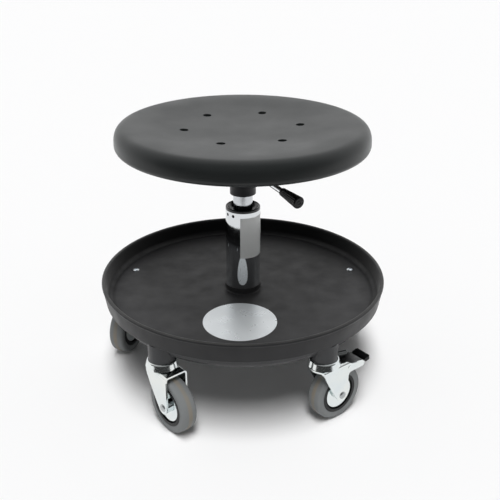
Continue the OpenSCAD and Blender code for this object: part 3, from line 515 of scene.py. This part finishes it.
def make_tyres(finishes):
    """The five tyres: a crowned tread with its moulding seam, rounded shoulders and a ring on each side."""
    wheel_r, rim_r, half, seat_half, shoulder = 40.0, 29.0, 12.0, 11.0, 5.0
    crown, crown_steps = 0.6, 8
    seam_half, seam_foot_half, seam_h = 0.25, 0.55, 0.02
    side_ring = ((3.0, 0.35), (2.4, 0.05), (1.6, 0.0))
    side_r, tread_half = wheel_r - crown - shoulder, half - shoulder
    right = [(rim_r, 0.0), (rim_r, seat_half)]
    right += [(side_r - inward, half - drop) for inward, drop in side_ring]
    right += arc(side_r, tread_half, shoulder, shoulder, 90, 0, steps=12)
    shares = [k / crown_steps for k in range(crown_steps - 1, 0, -1)]
    right += [(wheel_r - crown * share ** 2, tread_half * share) for share in shares]
    right += [(wheel_r - seam_h, seam_foot_half), (wheel_r, seam_half)]
    left = [(r, -z) for r, z in reversed(right[1:])]
    master = lathe("tyre_master", right + left, steps=144, sharp=30)
    dress(master, finishes["tyre"])
    for place in PLACES:
        post = on_circle(POST_CIRCLE_R, POST_BEARINGS[place] - 90)
        axle = post + on_circle(TRAIL, HEADINGS[place], AXLE_Z)
        matrix = Matrix.Translation(axle) @ turn(HEADINGS[place], "Z") @ turn(90, "X")
        tyre = add(f"tyre_skin_{place}", master.data, matrix)
        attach(tyre, f"wheel_{place}")
        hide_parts(f"tyre_{place}")
    bpy.data.objects.remove(master)


def make_grip(finishes):
    """The lever's grip: tapered, fluted along its length, with a rounded tip and a dimpled end face."""
    length, tip_r, tip_round, root_r, root_round = 38.0, 8.25, 2.0, 5.5, 0.6
    bore_r, bore_l = 4.05, 30.3
    taper_start, taper_end, taper_steps = 1.2, length - tip_round, 40
    face_r, face_foot_r, face_drop = 5.2, 4.9, 0.35
    dimple_r, dimple, dimple_lip, dimple_lip_drop, dimple_slope = 2.5, 0.8, 0.5, 0.1, 0.4
    flutes, flute_depth, flute_steps = 18, 0.45, 12
    flute_start, flute_end, flute_fade, skin_t = 2.0, length - 1.2, 3.0, 0.9

    def skin(z):
        """Radius of the tapered skin at that height."""
        return root_r + (tip_r - root_r) * z / taper_end

    def fluted(r, z, a):
        if r < skin(z) - skin_t or z < flute_start or z > flute_end:
            return r
        ends = min(1.0, (z - flute_start) / flute_fade, (flute_end - z) / flute_fade)
        wave = ((1 - math.cos(flutes * a)) / 2) ** 2
        return r - flute_depth * ends * wave

    outline = [(0, bore_l), (bore_r, bore_l), (bore_r, 0), (root_r - root_round, 0)]
    outline += arc(root_r - root_round, root_round, root_round, root_round, -90, 0, steps=4)[1:]
    heights = [taper_start + (taper_end - taper_start) * k / taper_steps for k in range(1, taper_steps)]
    outline += [(skin(z), z) for z in heights]
    outline += arc(tip_r - tip_round, length - tip_round, tip_round, tip_round, 0, 90, steps=8)
    face_z, dimple_z = length - face_drop, length - dimple
    outline += [(face_r, length), (face_foot_r, face_z), (dimple_r + dimple_lip, face_z)]
    outline += [(dimple_r, length - dimple_lip_drop), (dimple_r - dimple_slope, dimple_z), (0, dimple_z)]
    grip = lathe("grip_skin", outline, steps=flutes * flute_steps, sharp=40, wobble=fluted)
    dress(grip, finishes["grip_plastic"])

    heading, slope, reach, pin_x, cylinder_top_z, lever_rise = -58.1, 5.3, 135.4, 24.0, 312.0, 10.6
    lever_l = (reach - pin_x) / math.cos(math.radians(slope))
    pin_z = cylinder_top_z + lever_rise - pin_x * math.tan(math.radians(slope))
    grip.matrix_world = (
        turn(heading, "Z") @ Matrix.Translation((pin_x * MM, 0, pin_z * MM)) @ turn(slope, "Y")
        @ Matrix.Translation(((lever_l - length) * MM, 0, 0)) @ turn(90, "Y")
    )
    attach(grip, "lever")
    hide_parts("lever_grip")


def make_tray_screws(finishes):
    """The five pan-head screws in the tray's floor, each with a cross recess."""
    seat_z, shank_r, shank_l, shoulder_r, shoulder_h = 130.4, 1.5, 1.0, 3.7, 0.62
    head_r, head_t, rim_h = 5.2, 2.9, 0.3
    slot_l, slot_w, slot_h = 5.4, 1.1, 2.4
    stem_r, wall = 5.5, 1.8
    screw_circle_r = POST_CIRCLE_R - stem_r - shank_r - wall
    first_turn, next_turn = 17, 61

    outline = [(0, -shank_l), (shank_r, -shank_l), (shank_r, 0)]
    outline += [(shoulder_r, 0), (shoulder_r, shoulder_h), (head_r, shoulder_h)]
    outline += arc(0, shoulder_h + rim_h, head_r, head_t - shoulder_h - rim_h, 0, 90, steps=14)
    master = lathe("screw_master", outline, steps=48, sharp=35)
    tools = []
    for angle in (0, 90):
        bpy.ops.mesh.primitive_cube_add(size=1)
        tool = bpy.context.object
        size = Matrix.Diagonal((slot_l * MM, slot_w * MM, slot_h * MM, 1))
        tool.matrix_world = turn(angle, "Z") @ Matrix.Translation((0, 0, head_t * MM)) @ size
        tools.append(tool)
    cut(master, tools, sharp=35)
    dress(master, finishes["screw_zinc"])
    for k, place in enumerate(PLACES):
        seat = on_circle(screw_circle_r, POST_BEARINGS[place] - 90, seat_z)
        matrix = Matrix.Translation(seat) @ turn(first_turn + next_turn * k, "Z")
        screw = add(f"tray_screw_{place}", master.data, matrix)
        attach(screw, "base")
        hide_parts("tray_screws")
    bpy.data.objects.remove(master)


def make_camera():
    """The camera at the photograph's place, with its field of view."""
    data = bpy.data.cameras.new("camera")
    data.sensor_width = SENSOR_W
    data.lens = FOCAL_PIXELS * SENSOR_W / PICTURE_PIXELS
    data.clip_start, data.clip_end = CAMERA_NEAR, CAMERA_FAR
    aim = turn(CAMERA_YAW, "Z") @ turn(90 - CAMERA_PITCH, "X") @ turn(CAMERA_ROLL, "Z")
    bpy.context.scene.camera = add("camera", data, Matrix.Translation(CAMERA_PLACE) @ aim)


def make_floor():
    """A pale matte floor."""
    left, right, front, back = -FLOOR_HALF, FLOOR_HALF, FLOOR_FRONT, FLOOR_HALF
    corners = [(left, front, 0), (right, front, 0), (right, back, 0), (left, back, 0)]
    floor = new_mesh("floor", corners, [(0, 1, 2, 3)])
    dress(floor, Finish("floor_paper", FLOOR_COLOR, FLOOR_ROUGH, spec=0.0).mat)


def make_world():
    """The surround: one strength where it lights, one where metal mirrors it and one behind the object."""
    world = bpy.data.worlds.new("studio")
    bpy.context.scene.world = world
    world.use_nodes = True
    world.node_tree.nodes.clear()
    w = Wiring(world.node_tree)
    rays = w.node("ShaderNodeLightPath").outputs
    _, y, z = w.axes(w.node("ShaderNodeTexCoord").outputs["Generated"])
    fill = w.span(w.math("ABSOLUTE", z), FILL_SIDES, FILL_STEEP, *FILL_SPAN, "SMOOTHSTEP")
    front = w.span(z, FRONT_LOW, FRONT_HIGH, *FRONT_SPAN, "SMOOTHSTEP")
    level = w.span(y, front, 1.0, *BACK_SPAN, "SMOOTHSTEP")
    lit = w.node("ShaderNodeBackground", Color=(1, 1, 1, 1), Strength=fill).outputs[0]
    mirrored = w.node("ShaderNodeBackground", Color=SURROUND_COLOR, Strength=level).outputs[0]
    seen = w.node("ShaderNodeBackground", Color=SURROUND_COLOR, Strength=1.0).outputs[0]
    glossy = w.math("MAXIMUM", rays["Is Glossy Ray"], rays["Is Transmission Ray"])
    around = w.node("ShaderNodeMixShader", glossy, lit, mirrored).outputs[0]
    view = w.node("ShaderNodeMixShader", rays["Is Camera Ray"], around, seen).outputs[0]
    w.node("ShaderNodeOutputWorld", view)


def make_lamps():
    """The soft lamps, which metal doesn't mirror."""
    for elevation in KEY_ELEVATIONS:
        lamp = bpy.data.lights.new("key", "SUN")
        lamp.angle, lamp.energy = math.radians(KEY_SPREAD), KEY_STRENGTH
        key = add("key", lamp, turn(90 - elevation, "X"))
        key.visible_glossy = False


make_camera()
make_floor()
make_world()
make_lamps()
bpy.context.scene.view_settings.view_transform = "Standard"
finishes = make_finishes()
dress_nodes(finishes)
make_seat(finishes)
make_tyres(finishes)
make_grip(finishes)
make_tray_screws(finishes)
